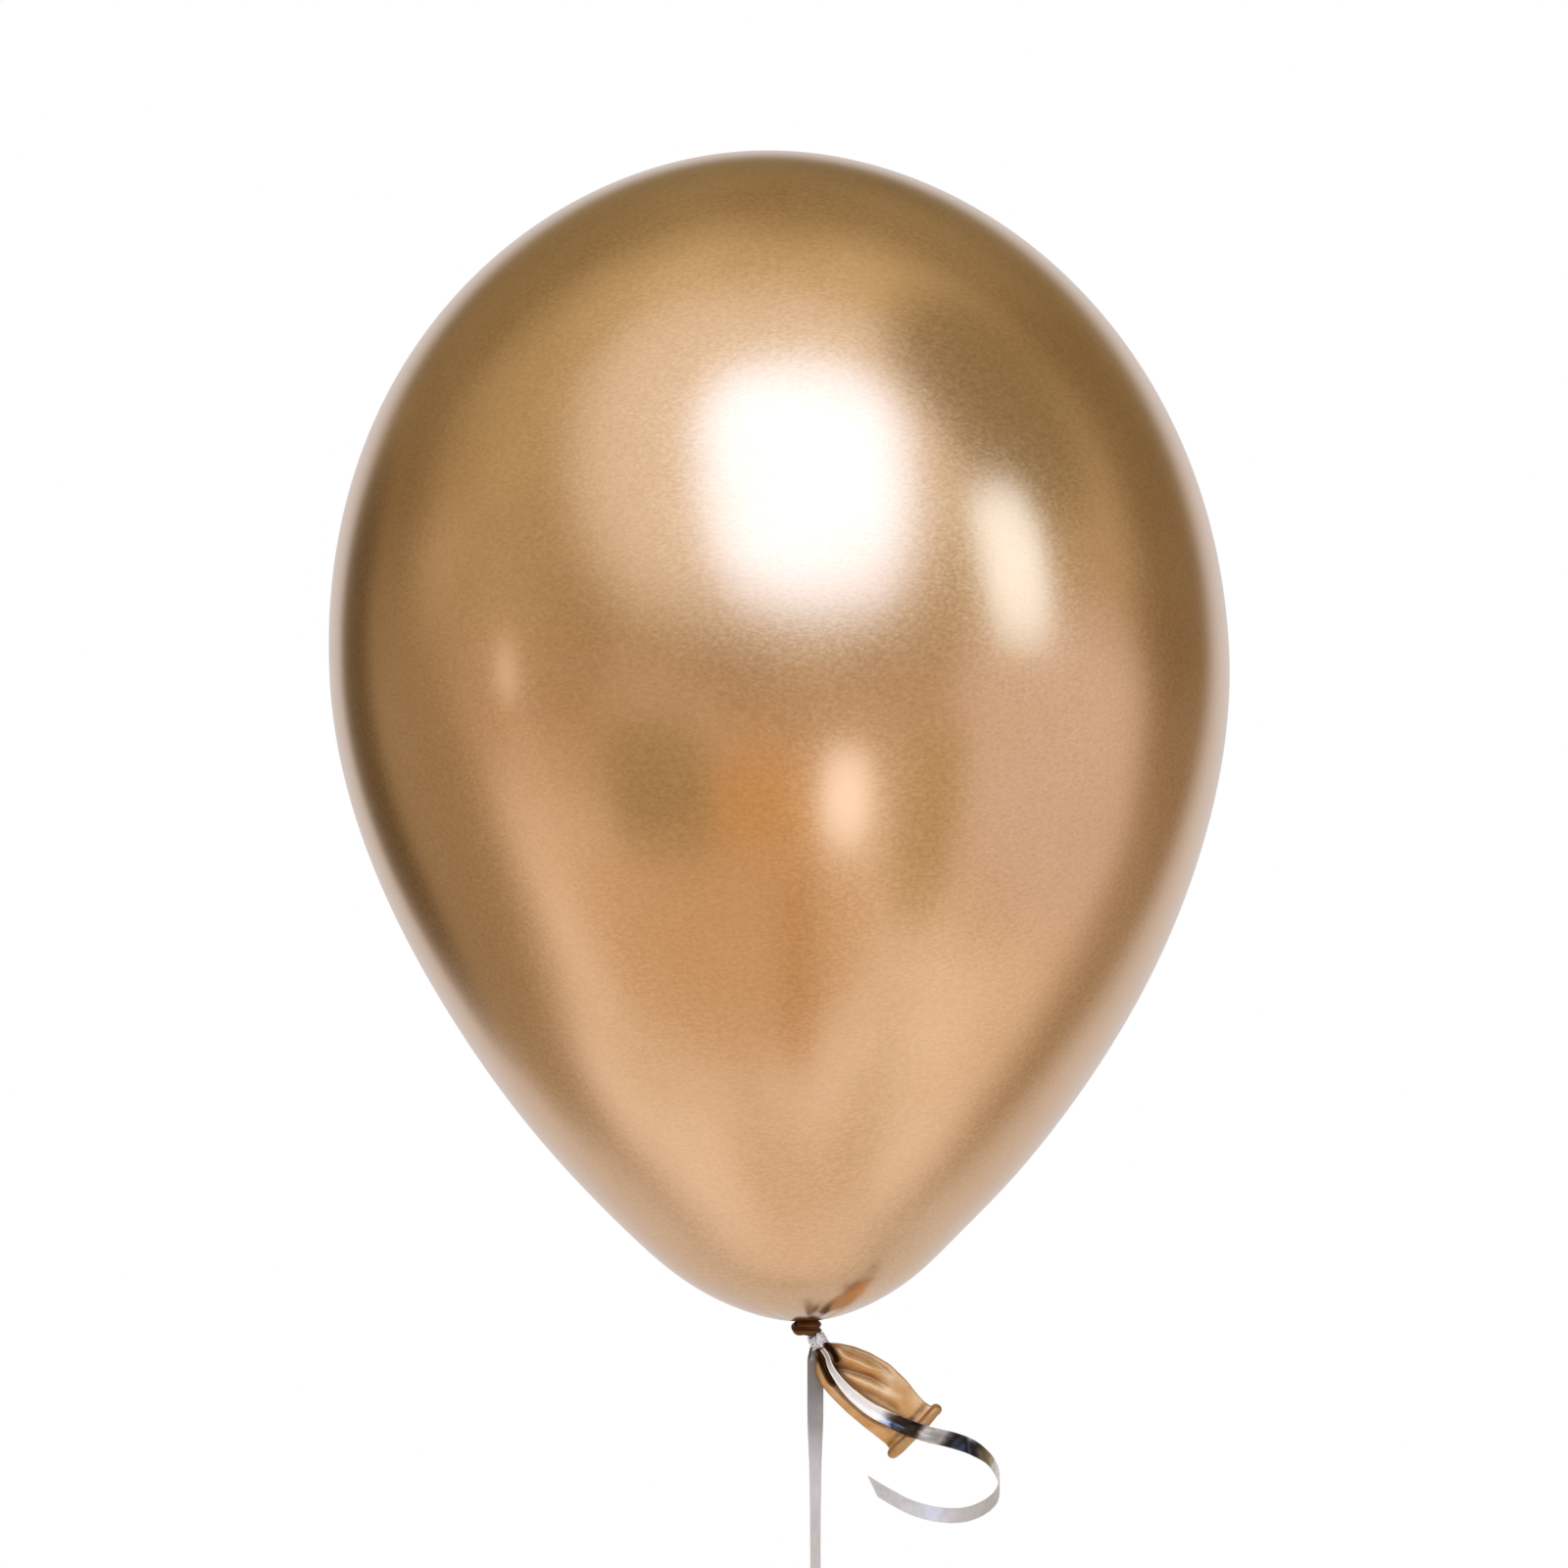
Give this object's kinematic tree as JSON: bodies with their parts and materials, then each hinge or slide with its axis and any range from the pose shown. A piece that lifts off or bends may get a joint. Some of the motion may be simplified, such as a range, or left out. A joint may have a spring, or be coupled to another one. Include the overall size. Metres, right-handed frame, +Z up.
{
  "type": "latex balloon",
  "caption": "Pear-shaped latex balloon, blown up and knotted, its slack neck and rolled rim hanging below, tied with a curling ribbon that has a curled free end and a hand loop.",
  "frame": {"origin": "middle of the ribbon tie on the gathered neck, just under the knot", "axes": "+Z up towards the crown of the envelope, +X towards the side where the slack tail of the neck hangs, -Y towards the front"},
  "size_m": [0.2799, 0.2798, 0.4836],
  "materials": {
    "stretched_latex": "mirror-like chrome gold",
    "slack_latex": "satin, deeper gold where it is not stretched",
    "silver_ribbon": "metallised mirror on one face, pale and pearly on the other"
  },
  "bodies": {
    "balloon": {"envelope": "stretched_latex", "neck": "slack_latex", "knot": "slack_latex", "ribbon_wraps": "silver_ribbon", "ribbon_hitch": "silver_ribbon"},
    "tail": {"tail_sleeve": "slack_latex", "mouth_bead": "slack_latex", "ribbon_lead": "silver_ribbon"},
    "curl": {"ribbon_curl": "silver_ribbon"},
    "tether": {"ribbon_tether": "silver_ribbon", "loop_knot": "silver_ribbon"},
    "loop": {"hand_loop": "silver_ribbon"}
  },
  "joints": [
    {"name": "tail_flop", "type": "hinge", "parent": "balloon", "child": "tail", "pos_m": [0.00105, 0, -0.00182], "axis": [0, 1, 0], "range_deg": [-28, 12], "stiffness_Nm_per_rad": 0.0002},
    {"name": "curl_flex", "type": "hinge", "parent": "tail", "child": "curl", "pos_m": [0.035, -0.00485, -0.0292], "axis": [0.2479, 0.0308, 0.9683], "range_deg": [-30, 12], "stiffness_Nm_per_rad": 0.0001},
    {"name": "tether_swing", "type": "hinge", "parent": "balloon", "child": "tether", "pos_m": [-0.0006, 0.0032, -0.001], "axis": [1, 0, 0], "range_deg": [-4, 60]},
    {"name": "loop_swing", "type": "hinge", "parent": "tether", "child": "loop", "pos_m": [-0.0006, 0.0032, -0.0836], "axis": [0.6428, 0.766, 0], "range_deg": [-75, 75]}
  ]
}
